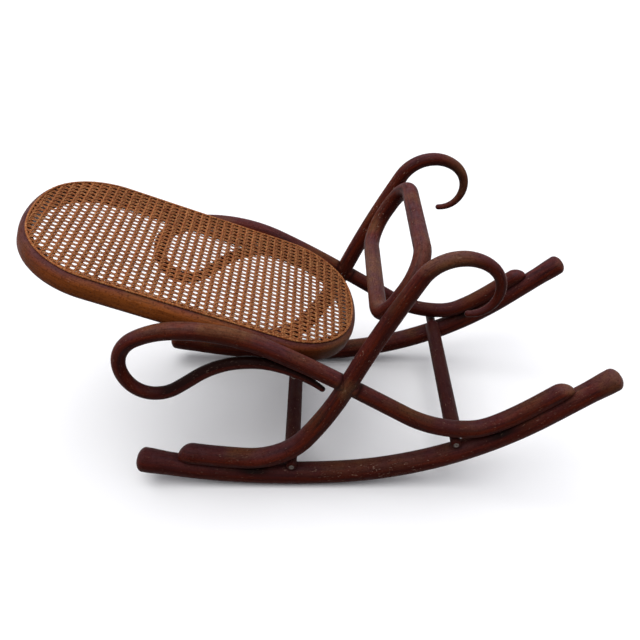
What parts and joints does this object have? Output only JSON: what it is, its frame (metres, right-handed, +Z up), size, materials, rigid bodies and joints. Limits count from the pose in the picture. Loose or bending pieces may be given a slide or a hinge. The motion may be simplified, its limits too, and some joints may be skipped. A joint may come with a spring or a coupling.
{
  "type": "rocking footstool",
  "caption": "Bentwood footstool on bowed rockers, with scrolled uprights, looped arms and a tilted cane seat, to rest the legs on and rock.",
  "frame": {"origin": "centre of the overall box in plan, on the floor that the rockers touch", "axes": "+Z up, +X from the raised end of the seat to the scrolls, +Y across to the right-hand side frame"},
  "size_m": [0.9658, 0.3934, 0.47],
  "materials": {
    "bentwood": "worn dark stain under old shellac",
    "cane": "satin, aged"
  },
  "bodies": {
    "root": {"rocker_left": "bentwood", "rocker_right": "bentwood", "scroll_upright_left": "bentwood", "scroll_upright_right": "bentwood", "loop_arm_left": "bentwood", "loop_arm_right": "bentwood", "seat_ring": "bentwood", "cane_panel": "cane", "cane_binder": "cane", "brace_hoop": "bentwood", "front_stretcher": "bentwood", "rear_stretcher": "bentwood"}
  },
  "joints": []
}
